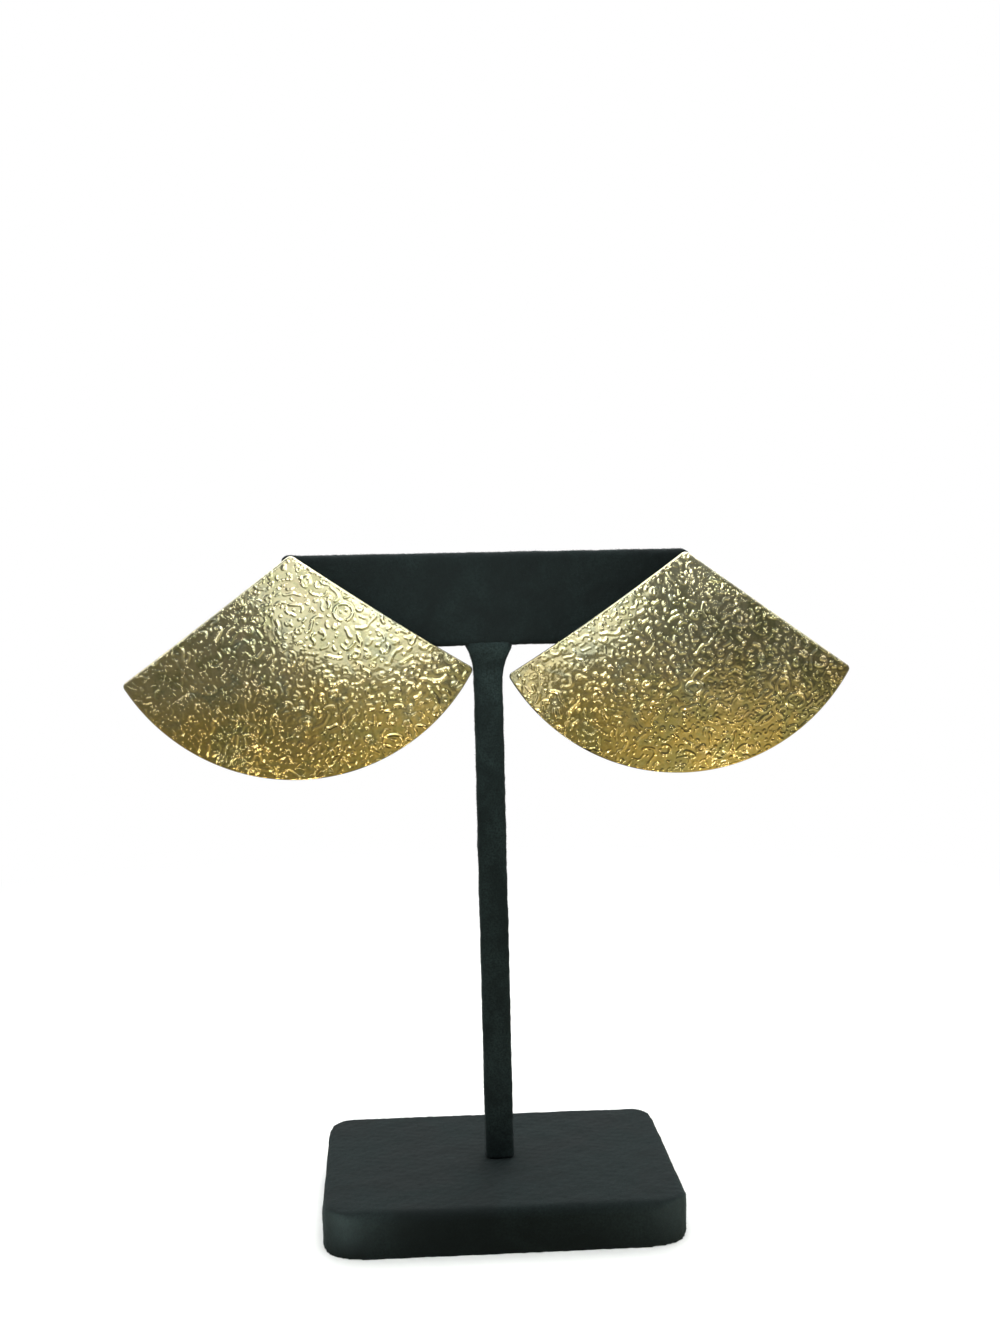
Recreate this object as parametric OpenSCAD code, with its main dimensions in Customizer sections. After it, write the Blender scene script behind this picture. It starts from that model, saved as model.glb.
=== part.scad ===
// A pair of domed fan earrings on a plain velvet T-bar stand, in millimetres.
// The origin is the centre of the base's underside. +X is the viewer's right,
// +Y points away from the viewer and +Z points up, so the fans face -Y.

/* [Fan plate] */
// Angle between the fan's centre line and each straight edge, in degrees
fan_half_angle = 54.5; // [50:0.5:56]
// Radius of the round lower edge
fan_arc_radius = 31.6; // [28:0.1:32]
// Distance from the top point down to the centre of the round lower edge
fan_arc_drop = 3.95; // [3:0.05:6]
// Rounding of the top point
point_rounding = 0.8; // [0.5:0.1:1.5]
// Rounding of the two side tips
tip_rounding = 0.8; // [0.3:0.1:1.2]
// Radius of the ball that the plate is domed over
dome_radius = 80; // [65:1:110]
// Distance from the top point down to the dome's highest place
dome_crown_drop = 17; // [13:0.5:20]
// Thickness of the embossed sheet, from its ridge tops
sheet_thickness = 0.7; // [0.5:0.05:1]
// How deep the turned-back lip is, from the front of the sheet
lip_depth = 1.2; // [1:0.05:1.2]
// Wall of the turned-back lip
lip_width = 0.6; // [0.4:0.05:0.9]

/* [Post and nut] */
// Distance from the top point down to the post
post_drop = 8; // [6:0.25:10]
// Diameter of the post
post_diameter = 0.9; // [0.7:0.05:1]
// Post left free past the nut
post_free_end = 0.3; // [0.1:0.1:1]
// Diameter of the nut's flat disc
nut_disc_diameter = 5; // [4:0.25:7]
// Thickness of the nut's flat disc
nut_disc_thickness = 0.6; // [0.4:0.1:1]
// Diameter of the nut's barrel
nut_barrel_diameter = 2.8; // [2:0.1:3.5]
// Length of the whole nut
nut_length = 2.4; // [1.5:0.1:4]

/* [Hanging] */
// Distance from the middle of the head to each hole
hole_spread = 30.25; // [29:0.1:30.4]
// Distance from the head's top down to the left hole
left_hole_drop = 7.9; // [7:0.05:9]
// Distance from the head's top down to the right hole
right_hole_drop = 8.4; // [7:0.05:9]
// Turn of the left fan on its post, in degrees, anticlockwise from the front
left_turn = 1.5; // [-1:0.25:3]
// Turn of the right fan on its post, in degrees, anticlockwise from the front
right_turn = 0; // [-3:0.25:1]
// Distance from the head's front to the front of the fan at its post
fan_stand_off = 5.8; // [5.8:0.1:7]

/* [Stand head] */
// Length of the cross-bar
head_length = 64; // [63:0.5:72]
// Height of the cross-bar
head_height = 14.7; // [13:0.1:15]
// Thickness of the cross-bar
head_thickness = 4.4; // [4:0.1:6]
// Rounding of the cross-bar's corners, seen from the front
head_corner = 1.4; // [0.8:0.1:2]
// Rounding of the cross-bar's long edges
head_edge = 1.1; // [0.6:0.1:1.5]
// Diameter of each hole for a post
hole_diameter = 1.3; // [1.2:0.05:1.8]

/* [Stand stem] */
// Height of the whole stand
stand_height = 105; // [95:1:112]
// Width of the stem
stem_width = 4.5; // [4:0.02:4.6]
// Thickness of the stem, front to back
stem_thickness = 3.4; // [3:0.1:3.4]
// Rounding of the stem's long edges
stem_edge = 1; // [0.6:0.1:1.4]
// Width of the stem where it spreads out under the head
flare_width = 7.4; // [6:0.1:8]
// Height of that spread
flare_height = 5; // [4:0.25:6]

/* [Stand base] */
// Width of the base
base_width = 56; // [46:1:66]
// Depth of the base, front to back
base_depth = 42; // [36:1:50]
// Thickness of the base
base_thickness = 7; // [6:0.5:10]
// Rounding of the base's corners, seen from above
base_corner = 6; // [3:0.5:10]
// Rounding of the base's upper edges
base_edge = 1.5; // [0.8:0.1:2.5]

/* [Joinery] */
// Clearance between neighbouring pieces
piece_gap = 0.05; // [0.03:0.01:0.1]
// Width of the tongues at the stem's ends
tongue_width = 2.6; // [2:0.1:3]
// Thickness of the tongues, front to back
tongue_thickness = 1.8; // [1.4:0.1:2]
// Length of the tongues
tongue_length = 5; // [3:0.5:5.5]

/* [Hidden] */

velvet_black = [0.11, 0.14, 0.14];
old_gold = [0.58, 0.53, 0.33];
nut_gold = [0.66, 0.58, 0.34];

// Room added to a cutting shape, so that it passes right through
past = 1;

// The head's box, with the stem's back flush with the head's back
head_front = -head_thickness / 2;
head_back = head_thickness / 2;
head_bottom = stand_height - head_height;
stem_middle = head_back - stem_thickness / 2;
stem_foot = base_thickness + piece_gap;
stem_top = head_bottom - piece_gap;

// The spread under the head is cut by a circle on each side, which meets the stem's side smoothly
flare_step = (flare_width - stem_width) / 2;
flare_radius = (flare_step * flare_step + flare_height * flare_height) / (2 * flare_step);

// Tilt of the plate, so that the post stands square to the sheet
post_above_crown = dome_crown_drop - post_drop;
dome_tilt = asin(post_above_crown / dome_radius);

// The post runs from inside the sheet to just past the nut
post_start = sheet_thickness / 2;
post_end = fan_stand_off + head_thickness + piece_gap + nut_length + post_free_end;

// Reach of the wedge and of the straight cut, both larger than the fan
wedge_reach = 2 * fan_arc_radius;
dome_cut_depth = 12;

// Straight steps in each rounded corner of the fan, and how far the cut reaches past the corner
corner_steps = 5;
corner_reach = 4;

// Centre of the circle that rounds a side tip: tip_rounding in from the straight edge and from the arc
tip_line_start = fan_arc_drop - tip_rounding / sin(fan_half_angle);
tip_line_run = tip_line_start * cos(fan_half_angle)
    + sqrt(pow(fan_arc_radius - tip_rounding, 2) - pow(tip_line_start * sin(fan_half_angle), 2));
tip_centre = [
    tip_line_run * sin(fan_half_angle),
    tip_line_start - fan_arc_drop - tip_line_run * cos(fan_half_angle)
];

// The same circle for the top point
point_centre = [0, -point_rounding / sin(fan_half_angle)];

// Directions square to the right-hand straight edge, and out from the arc's centre to the tip
edge_out = [cos(fan_half_angle), sin(fan_half_angle)];
arc_out = (tip_centre + [0, fan_arc_drop]) / (fan_arc_radius - tip_rounding);

$fn = 96;

// A rectangle with round corners, centred on the origin
module rounded_rectangle(width, height, corner) {
    square([width - 2 * corner, height], center = true);
    square([width, height - 2 * corner], center = true);
    for (side_x = [-1, 1])
        for (side_y = [-1, 1])
            translate([side_x * (width / 2 - corner), side_y * (height / 2 - corner)])
                circle(r = corner);
}

// A rectangle on the X axis whose two upper corners are round, centred on the Y axis
module round_topped_rectangle(width, height, corner) {
    translate([-width / 2, 0])
        square([width, height - corner]);
    translate([-width / 2 + corner, 0])
        square([width - 2 * corner, height]);
    for (side_x = [-1, 1])
        translate([side_x * (width / 2 - corner), height - corner])
            circle(r = corner);
}

// Stands a flat outline up, so that its Y becomes Z, from y_from to y_to
module upright(y_from, y_to) {
    translate([0, y_to, 0])
        rotate([90, 0, 0])
            linear_extrude(height = y_to - y_from)
                children();
}

// Stands a flat outline up to be seen from the side, so that its X becomes Y and its Y becomes Z
module sideways(length) {
    translate([-length / 2, 0, 0])
        rotate([90, 0, 90])
            linear_extrude(height = length)
                children();
}

module stand_base() {
    color(velvet_black)
        difference() {
            intersection() {
                linear_extrude(height = base_thickness)
                    rounded_rectangle(base_width, base_depth, base_corner);
                upright(-base_depth, base_depth)
                    round_topped_rectangle(base_width, base_thickness, base_edge);
                sideways(2 * base_width)
                    round_topped_rectangle(base_depth, base_thickness, base_edge);
            }
            tongue(base_thickness - tongue_length - piece_gap, base_thickness + past, piece_gap);
        }
}

// The tongue that holds the stem in the base and in the head, or its socket where room is given
module tongue(from, to, room) {
    translate([0, stem_middle, (from + to) / 2])
        cube([tongue_width + 2 * room, tongue_thickness + 2 * room, to - from], center = true);
}

// The stem with its spread top, seen from the front
module stem_front_outline() {
    translate([-stem_width / 2, stem_foot])
        square([stem_width, stem_top - stem_foot]);
    difference() {
        translate([-flare_width / 2, stem_top - flare_height])
            square([flare_width, flare_height]);
        for (side = [-1, 1])
            translate([side * (stem_width / 2 + flare_radius), stem_top - flare_height])
                circle(r = flare_radius);
    }
}

// The stem seen from above: its long edges are round where it is narrow
module stem_plan(width) {
    translate([0, stem_middle])
        rounded_rectangle(width, stem_thickness, stem_edge);
}

module stand_stem() {
    color(velvet_black) {
        translate([0, 0, stem_foot])
            linear_extrude(height = stem_top - flare_height - stem_foot)
                stem_plan(stem_width);
        intersection() {
            upright(head_front, head_back)
                stem_front_outline();
            translate([0, 0, stem_top - flare_height])
                linear_extrude(height = flare_height)
                    stem_plan(flare_width);
        }
        tongue(base_thickness - tongue_length, stem_foot + past, 0);
        tongue(stem_top - past, head_bottom + tongue_length, 0);
    }
}

module stand_head() {
    color(velvet_black)
        difference() {
            intersection() {
                translate([0, 0, head_bottom + head_height / 2])
                    upright(head_front, head_back)
                        rounded_rectangle(head_length, head_height, head_corner);
                translate([0, 0, head_bottom + head_height / 2])
                    sideways(head_length + 2 * past)
                        rounded_rectangle(head_thickness, head_height, head_edge);
            }
            tongue(head_bottom - past, head_bottom + tongue_length + piece_gap, piece_gap);
            post_hole(-hole_spread, left_hole_drop);
            post_hole(hole_spread, right_hole_drop);
        }
}

module post_hole(x, drop) {
    translate([x, head_back + past, stand_height - drop])
        rotate([90, 0, 0])
            cylinder(d = hole_diameter, h = head_thickness + 2 * past);
}

// The two straight edges, moved in by inset, with the top point at the origin
module fan_wedge(inset) {
    top = -inset / sin(fan_half_angle);
    bottom = top - wedge_reach / tan(fan_half_angle);
    polygon([[0, top], [wedge_reach, bottom], [-wedge_reach, bottom]]);
}

// The fan with sharp corners, moved in by inset
module sharp_fan(inset) {
    intersection() {
        fan_wedge(inset);
        translate([0, -fan_arc_drop])
            circle(r = fan_arc_radius - inset);
    }
}

// Clears what lies outside a corner's rounding circle, whose arc is cut in short straight steps
module corner_clip(centre, out_a, out_b, rounding) {
    arc = [
        for (step = [0 : corner_steps])
            let (way = out_a + (out_b - out_a) * step / corner_steps)
                centre + way * rounding / norm(way)
    ];
    polygon(concat([centre + corner_reach * rounding * (out_a + out_b)], arc));
}

module fan_outline() {
    difference() {
        sharp_fan(0);
        corner_clip(point_centre, edge_out, [-edge_out[0], edge_out[1]], point_rounding);
        corner_clip(tip_centre, edge_out, arc_out, tip_rounding);
        mirror([1, 0])
            corner_clip(tip_centre, edge_out, arc_out, tip_rounding);
    }
}

// The domed plate with its turned-back lip, about the centre of the ball that it is domed over
module fan_plate() {
    difference() {
        intersection() {
            sphere(r = dome_radius);
            translate([0, 0, dome_crown_drop])
                upright(-dome_radius - past, -dome_radius + dome_cut_depth)
                    fan_outline();
        }
        sphere(r = dome_radius - lip_depth);
        intersection() {
            sphere(r = dome_radius - sheet_thickness);
            translate([0, 0, dome_crown_drop])
                upright(-dome_radius - past, -dome_radius + dome_cut_depth)
                    sharp_fan(lip_width);
        }
    }
}

// The fan with its soldered post, whose front end is at the origin
module fan_with_post() {
    translate([0, dome_radius, 0])
        rotate([dome_tilt, 0, 0])
            fan_plate();
    translate([0, post_end, 0])
        rotate([90, 0, 0])
            cylinder(d = post_diameter, h = post_end - post_start);
}

module hang_fan(x, drop, turn) {
    color(old_gold)
        translate([x, head_front - fan_stand_off, stand_height - drop])
            rotate([0, -turn, 0])
                fan_with_post();
}

module left_fan() {
    hang_fan(-hole_spread, left_hole_drop, left_turn);
}

module right_fan() {
    hang_fan(hole_spread, right_hole_drop, right_turn);
}

// The plain friction nut, pushed up to the back of the head
module nut(x, drop) {
    bore = post_diameter / 2 + piece_gap;
    color(nut_gold)
        translate([x, head_back + piece_gap, stand_height - drop])
            rotate([-90, 0, 0])
                rotate_extrude()
                    polygon([
                        [bore, 0],
                        [nut_disc_diameter / 2, 0],
                        [nut_disc_diameter / 2, nut_disc_thickness],
                        [nut_barrel_diameter / 2, nut_disc_thickness],
                        [nut_barrel_diameter / 2, nut_length],
                        [bore, nut_length]
                    ]);
}

module left_nut() {
    nut(-hole_spread, left_hole_drop);
}

module right_nut() {
    nut(hole_spread, right_hole_drop);
}

stand_base();
stand_stem();
stand_head();
left_fan();
right_fan();
left_nut();
right_nut();
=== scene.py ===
# A pair of domed fan earrings on a black velvet T-bar stand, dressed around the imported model.
import math

import bmesh
import bpy
import numpy as np
from mathutils import Matrix, Vector
from mathutils.geometry import delaunay_2d_cdt


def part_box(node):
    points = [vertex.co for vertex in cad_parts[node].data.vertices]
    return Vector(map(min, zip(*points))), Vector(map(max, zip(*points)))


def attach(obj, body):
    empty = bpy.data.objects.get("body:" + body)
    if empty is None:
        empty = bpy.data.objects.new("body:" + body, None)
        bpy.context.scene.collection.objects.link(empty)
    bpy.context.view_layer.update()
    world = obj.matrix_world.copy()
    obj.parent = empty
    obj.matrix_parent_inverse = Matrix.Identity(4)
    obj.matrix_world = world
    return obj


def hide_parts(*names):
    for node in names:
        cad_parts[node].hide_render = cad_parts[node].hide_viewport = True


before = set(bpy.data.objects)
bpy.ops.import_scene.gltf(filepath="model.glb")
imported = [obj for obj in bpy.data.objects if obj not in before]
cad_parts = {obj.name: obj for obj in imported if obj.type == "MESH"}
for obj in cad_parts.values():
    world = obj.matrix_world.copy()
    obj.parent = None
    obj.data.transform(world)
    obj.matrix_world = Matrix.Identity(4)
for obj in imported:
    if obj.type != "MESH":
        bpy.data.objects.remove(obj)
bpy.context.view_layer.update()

# Millimetres to metres
MM = 0.001

# Outline of the fan plate, in millimetres from its sharp top point
HALF_ANGLE = math.radians(54.5)
ARC_RADIUS = 31.6
ARC_DROP = 3.95
POINT_ROUNDING = 1.0
TIP_ROUNDING = 0.8

# Dome, sheet and lip of the fan plate
DOME_RADIUS = 80.0
CROWN_DROP = 17.0
SHEET = 0.7
LIP_DEPTH = 1.2
LIP_WIDTH = 0.6
LIP_DRAFT = 0.3

# Post of the fan and how the fan hangs
POST_DROP = 8.0
POST_RADIUS = 0.45
POST_LENGTH = 12.95
STAND_OFF = 5.8
TURN = {"left": math.radians(1.5), "right": math.radians(0.0)}

# Embossed relief: its depth under the ridge tops, and the shares of it that its parts take
RELIEF_DEPTH = 0.32
RELIEF_GROUND = 0.2
COARSE_SWELL = 0.06
FINE_SWELL = 0.05
WORM_RISE = 0.66

# Grid of the relief: its rows and columns, their step, and where it starts left of and above the point
GRID_SHAPE = (384, 600)
GRID_STEP = 0.1
GRID_LEFT = 29
GRID_ABOVE = 1
RELIEF_SEED = {"left": 11, "right": 23}

# Embossed rings: place across and down from the top point, half width and half height
RINGS = {
    "left": [(7.6, 9.0, 1.45, 1.3), (14.2, 30.0, 1.5, 1.0)],
    "right": [(1.4, 21.3, 1.3, 1.0), (15.8, 21.6, 1.0, 1.3), (18.0, 24.2, 1.5, 1.1)],
}
RING_RIDGE = 0.32
RING_GAP = 0.35
RING_HEIGHT = 0.9

# Worms of the relief: tries, shortest and longest length, and least and greatest bend
WORM_KINDS = [
    (650, 2.0, 4.2, 0.3, 1.5),
    (650, 1.2, 2.4, 1.7, 3.2),
    (2600, 0.5, 1.5, 0.0, 1.6),
    (5000, 0.1, 0.3, 0.0, 0.1),
]

# Where worms start, how their headings vary, and the share of the shortest length that one may have
WORM_AREA = ((-26, 0.5), (26, 35))
WORM_TURN = 0.7
SHORTEST_SHARE = 0.8

# Half width and height of a worm, the ground kept free around it, and the share of beaded worms
WORM_RIDGE = (0.2, 0.32)
WORM_HEIGHT = (0.45, 1.0)
WORM_GAP = 0.38
BEADED_SHARE = 0.2
BEAD_STEPS = 6

# How much the worms' size varies over the fan, and how fast it grows towards the stand's stem
SIZE_RANGE = {"left": 0.28, "right": 0.36}
SIZE_GROWTH = {"left": 0.08, "right": 0.02}

# Patch of long parallel furrows: which way they run, its middle, and half its width and height
FURROW_LEAN = {"left": math.radians(22), "right": math.radians(50)}
FURROW_PLACE = {"left": (-10.6, 30.0), "right": (17.5, 26.0)}
FURROW_PATCH = (4.5, 3.2)
FURROW_TRIES = 500
FURROW_TURN = 0.12
FURROW_BEND = 0.2
FURROW_LENGTH = (1.8, 4.5)
SHORTEST_FURROW = 1.5
FURROW_RIDGE = (0.28, 0.36)
FURROW_HEIGHT = (0.5, 0.9)
FURROW_GAP = 0.24

# Calm places where the relief is low: across, down, half width, half height and how calm
CALM = {"left": (-18.0, 16.5, 3.4, 2.4, 0.4), "right": (-21.0, 17.5, 4.5, 3.5, 0.6)}

# Bend from the face into the lip
BEND_INSET = 0.42
BEND_DEPTH = 0.4
BEND_STEPS = 6

# Where the outer side's upright lip and its painted highlight fade out, across and down, and where the
# inner side's painted shade sets in
OUTER_FADE = (-3, 3)
OUTER_FOOT = (23, 20)
INNER_SHADE = (6, 16)

# Room that the fan takes, and the length of its straight edge or of half its round one
FAN_HALF_WIDTH = 28
FAN_HEIGHT = 36
EDGE_RUN = 33

# Distance between neighbouring mesh points on the fan's face, back and edge, and the least rounding
FACE_STEP = 0.132
BACK_STEP = 0.34
EDGE_STEP = 0.15
SHARPEST = 0.03

# Velvet: voxel of its mesh, how far it stands out, hairs to a square millimetre, how light its tone
# is, as painted light and shade that makes one velvet darker on the head and base and lighter on the stem,
# fineness of its brushed patches, and seed
VELVETS = {
    "head": (0.26, -0.03, 7.0, 0.55, 110.0, 31),
    "stem": (0.26, 0.03, 7.0, 1.15, 150.0, 41),
    "base": (0.42, -0.03, 3.5, 0.6, 80.0, 51),
}

# How uneven the velvet is: height of its swells, and the size of the long and the short ones
SWELL = 0.02
LONG_SWELL = 6.0
SHORT_SWELL = 1.3

# A pile hair: its length, its half width, how deep it is rooted, and how it lies with the nap
HAIR_LENGTH = (0.1, 0.26)
HAIR_HALF_WIDTH = (0.014, 0.024)
HAIR_ROOT = 0.03
NAP_SPREAD = 0.45
NAP_LEAN = np.array([0.1, 0, -0.25])

# Colours of the embossed metal: the plating with a painted pale reflection near the tops, its stains, its
# hollows dulled by tarnish and painted shade, rubbed grain, and edges with painted shade and painted
# highlight
GOLD = (0.680, 0.475, 0.118, 1)
# pale gold painted high on the fans as a painted reflection of the bright light above them
PAINTED_PALE_REFLECTION_GOLD = (0.620, 0.575, 0.360, 1)
OLIVE = (0.310, 0.330, 0.135, 1)
GREY = (0.27, 0.32, 0.265, 1)
REDDISH = (0.55, 0.38, 0.24, 1)
TARNISH_AND_PAINTED_SHADE_GOLD = (0.20, 0.170, 0.070, 1)
RUBBED_GOLD = (0.80, 0.70, 0.42, 1)
PAINTED_EDGE_SHADE = (0.085, 0.080, 0.045, 1)
PAINTED_EDGE_HIGHLIGHT = (0.93, 0.88, 0.70, 1)

# Colours of the nuts
NUT_GOLD = (0.68, 0.56, 0.29, 1)
NUT_BROWN = (0.47, 0.37, 0.18, 1)

# Colours of the velvet: where it lies flat, where it is raised, painted shade between its hairs, lint and
# sheen
VELVET_FLAT = (0.0070, 0.0124, 0.0121)
VELVET_RAISED = (0.0155, 0.0255, 0.0248)
VELVET_PAINTED_PILE_SHADE = (0.0035, 0.0055, 0.0060, 1)
LINT = (0.22, 0.24, 0.22, 1)
SHEEN = (0.75, 0.95, 1.0, 1)

# Colours of the floor and the room, as the eye meets them and as the metal mirrors them; in the metal the
# floor is a painted glow
WHITE = (1, 1, 1, 1)
FLOOR = (0.86, 0.86, 0.85, 1)
NEAR_LEFT = (0.24, 0.235, 0.165, 1)
NEAR_RIGHT = (0.76, 0.72, 0.46, 1)
FAR_LEFT = (0.23, 0.22, 0.18, 1)
FAR_RIGHT = (0.15, 0.15, 0.13, 1)
BEHIND = (0.30, 0.29, 0.24, 1)
ROOM_LOW = (0.11, 0.11, 0.10, 1)
ROOM_HIGH = (0.31, 0.34, 0.36, 1)
ROOM_REAR = (0.82, 0.82, 0.79, 1)

# Glows that the domes mirror: place, target, height, brightness, width for its height, and spread
GLOW_COLOUR = (0.95, 1.0, 0.97)
GLOWS = {
    "front_glow_small": ((-3, -30, 102), (-3, 0, 102), 24, 1.75, 1.5, 180),
    "front_glow_middle": ((-8.5, -31, 103), (-8.5, 0, 103), 49, 1.36, 1.33, 180),
    "front_glow_wide": ((-5, -32, 103), (-5, 0, 103), 76, 0.07, 1.25, 180),
    "front_glow_upper": ((-4, -42, 148), (-4, 0, 100), 46, 0.66, 1.6, 180),
    "front_glow_left": ((-19, -31, 66), (6, 0, 82), 20, 1.5, 1.2, 60),
}

# Small bright cores that make the glints: place, target, size and brightness
FANS = (0, -5, 84)
CORE_COLOUR = (1.0, 1.0, 0.95)
CORES = {
    "front_core": ((-10, -110, 145), FANS, 13, 50),
    "high_core": ((10, -85, 175), FANS, 12, 60),
    "left_core": ((-150, -105, 95), FANS, 8, 50),
    "right_core": ((150, -105, 95), FANS, 9, 50),
    "upper_left_core": ((-75, -105, 112), FANS, 6, 50),
    "upper_right_core": ((72, -105, 112), FANS, 6, 50),
    "lower_left_core": ((-67, -58, 3), FANS, 5.5, 60),
    "lower_right_core": ((70, -58, 3), FANS, 5, 60),
    "low_left_core": ((-30, -30, 3), (-20, -5, 84), 7, 60),
    "low_right_core": ((32, -30, 3), (20, -5, 84), 6, 60),
}

# Large fills round the room: place, target, size, brightness and colour
FILLS = {
    "overhead": ((0, 150, 620), (0, 0, 0), 1100, 2.3, (0.98, 1.0, 1.0)),
    "left_fill": ((-420, -120, 260), (0, 0, 60), 260, 1.6, (1.0, 0.98, 0.92)),
    "right_fill": ((420, -120, 260), (0, 0, 60), 260, 1.6, (1.0, 0.98, 0.92)),
    "rear_fill": ((120, 420, 240), (0, 0, 60), 300, 1.6, (1.0, 1.0, 1.0)),
}

# Camera: what it looks at and where it stands, in millimetres and degrees
CAMERA_TARGET = Vector((0, -2.2, 87.0))
CAMERA_DISTANCE = 260.0
CAMERA_AZIMUTH = -3.442
CAMERA_ELEVATION = 4.622
CAMERA_ROLL = 1.08
CAMERA_LENS = 44.77
CAMERA_SHIFT = (0.00752, 0.00176)


# Meshes

def in_scene(name, data):
    """A new object in the scene."""
    made = bpy.data.objects.new(name, data)
    bpy.context.scene.collection.objects.link(made)
    return made


def add_mesh(name, points, faces, material):
    """A new piece from points in millimetres and faces, riding on the root body."""
    mesh = mesh_from_arrays(name, points, faces)
    piece = in_scene(name, mesh)
    mesh.materials.append(material)
    clean_mesh(mesh)
    mesh.shade_smooth()
    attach(piece, "root")
    return piece


def mesh_from_arrays(name, points, faces):
    """A mesh from points in millimetres and a list of arrays, each with faces of one size."""
    mesh = bpy.data.meshes.new(name)
    mesh.vertices.add(len(points))
    mesh.vertices.foreach_set("co", (points * MM).astype(np.float32).ravel())
    corners = np.concatenate([part.ravel() for part in faces])
    sizes = np.concatenate([np.full(len(part), part.shape[1]) for part in faces])
    starts = np.concatenate([[0], np.cumsum(sizes)[:-1]])
    mesh.loops.add(len(corners))
    mesh.loops.foreach_set("vertex_index", corners.astype(np.int32))
    mesh.polygons.add(len(sizes))
    mesh.polygons.foreach_set("loop_start", starts.astype(np.int32))
    mesh.update(calc_edges=True)
    return mesh


def clean_mesh(mesh):
    """Drops loose points and turns every face outwards."""
    work = bmesh.new()
    work.from_mesh(mesh)
    loose = [point for point in work.verts if not point.link_faces]
    bmesh.ops.delete(work, geom=loose, context="VERTS")
    bmesh.ops.recalc_face_normals(work, faces=work.faces)
    work.to_mesh(mesh)
    work.free()


def ring_faces(first, second, count):
    """Quads between two closed rings of points with count points each."""
    here = np.arange(count)
    after = (here + 1) % count
    return np.stack([first + here, first + after, second + after, second + here], -1)


def lathe(profile, sides):
    """Points and faces of a closed turned body about the Y axis; profile rows are (radius, along)."""
    turn = np.arange(sides) * 2 * math.pi / sides
    rings = []
    for radius, along in profile:
        rings.append(np.stack([radius * np.cos(turn), np.full(sides, along), radius * np.sin(turn)], -1))
    faces = [ring_faces(step * sides, (step + 1) * sides, sides) for step in range(len(profile) - 1)]
    return np.concatenate(rings), faces


def capped_lathe(profile, sides):
    """Points and faces of a turned body with flat ends."""
    points, faces = lathe(profile, sides)
    last = (len(profile) - 1) * sides
    faces.append(np.array([range(sides), range(last, last + sides)]))
    return points, faces


def arc_profile(centre, radius, start, end, steps):
    """Profile rows along part of a circle, with angles in degrees."""
    angles = np.radians(np.linspace(start, end, steps + 1))
    return [(centre[0] + radius * math.cos(a), centre[1] + radius * math.sin(a)) for a in angles]


# Seeded patterns

def filtered_noise(rng, keep):
    """Noise over the relief's grid; keep gives what is left of waves by their number in a millimetre."""
    white = rng.standard_normal(GRID_SHAPE)
    across = np.fft.rfftfreq(GRID_SHAPE[1], GRID_STEP)
    down = np.fft.fftfreq(GRID_SHAPE[0], GRID_STEP)
    waves = np.hypot(across[None, :], down[:, None])
    return np.fft.irfft2(np.fft.rfft2(white) * keep(waves), GRID_SHAPE)


def band_noise(rng, period, spread):
    """Noise whose waves are about period millimetres long."""
    field = filtered_noise(rng, lambda waves: np.exp(-(((waves * period - 1) / spread) ** 2)))
    return field / field.std()


def cloud_noise(rng, size):
    """Soft blotches about size millimetres across."""
    field = filtered_noise(rng, lambda waves: np.exp(-((waves * size) ** 2)))
    return (field - field.mean()) / field.std()


def smooth_step(value, low, high):
    """Runs from 0 at low to 1 at high, level at both."""
    part = np.clip((value - low) / (high - low), 0, 1)
    return part * part * (3 - 2 * part)


def grid_place(point):
    """Row and column of the relief's grid nearest to a point in millimetres."""
    row = int(round((point[1] + GRID_ABOVE) / GRID_STEP))
    return row, int(round((point[0] + GRID_LEFT) / GRID_STEP))


def grid_lines():
    """Across and down of every sample of the relief's grid, in millimetres."""
    across = np.arange(GRID_SHAPE[1]) * GRID_STEP - GRID_LEFT
    down = np.arange(GRID_SHAPE[0]) * GRID_STEP - GRID_ABOVE
    return np.meshgrid(across, down)


class Ground:
    """The fan's face while its worms are laid: how far the nearest is, its height, what is taken."""

    def __init__(self, taken):
        far_off = 9.0
        self.reach = np.full(GRID_SHAPE, far_off)
        self.rises = np.zeros(GRID_SHAPE)
        self.taken = taken

    def worm_path(self, rng, start, heading, bend, length):
        """Points of one winding worm that stops where the ground is taken."""
        wander = 0.09
        fading = 0.9
        points = [np.array(start)]
        drift = 0.0
        while len(points) * GRID_STEP < length:
            drift = fading * drift + rng.normal(0, wander)
            heading += bend * GRID_STEP + drift
            ahead = points[-1] + GRID_STEP * np.array([math.cos(heading), math.sin(heading)])
            if self.taken[grid_place(ahead)]:
                break
            points.append(ahead)
        return np.array(points)

    def lay(self, path, half_width, gap, heights):
        """Lays a ridge along a path and takes up the ground around it."""
        window = int((half_width + gap) / GRID_STEP) + 1
        steps = np.arange(-window, window + 1)
        for point, height in zip(path, heights):
            row, column = grid_place(point)
            rows = slice(row - window, row + window + 1)
            columns = slice(column - window, column + window + 1)
            across = (column + steps) * GRID_STEP - GRID_LEFT - point[0]
            down = (row + steps) * GRID_STEP - GRID_ABOVE - point[1]
            away = np.hypot(across[None, :], down[:, None])
            nearer = away / half_width < self.reach[rows, columns]
            self.reach[rows, columns][nearer] = away[nearer] / half_width
            self.rises[rows, columns][nearer] = height
            self.taken[rows, columns] |= away < half_width + gap

    def relief(self):
        """Rounded ridges with a crease along their feet."""
        crease_place = 1.25
        crease_width = 0.3
        crease_depth = 0.15
        crest = 0.5 + 0.5 * np.cos(np.clip(self.reach, 0, 1) * math.pi)
        crease = np.exp(-(((self.reach - crease_place) / crease_width) ** 2))
        return self.rises * (crest - crease_depth * crease)


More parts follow.
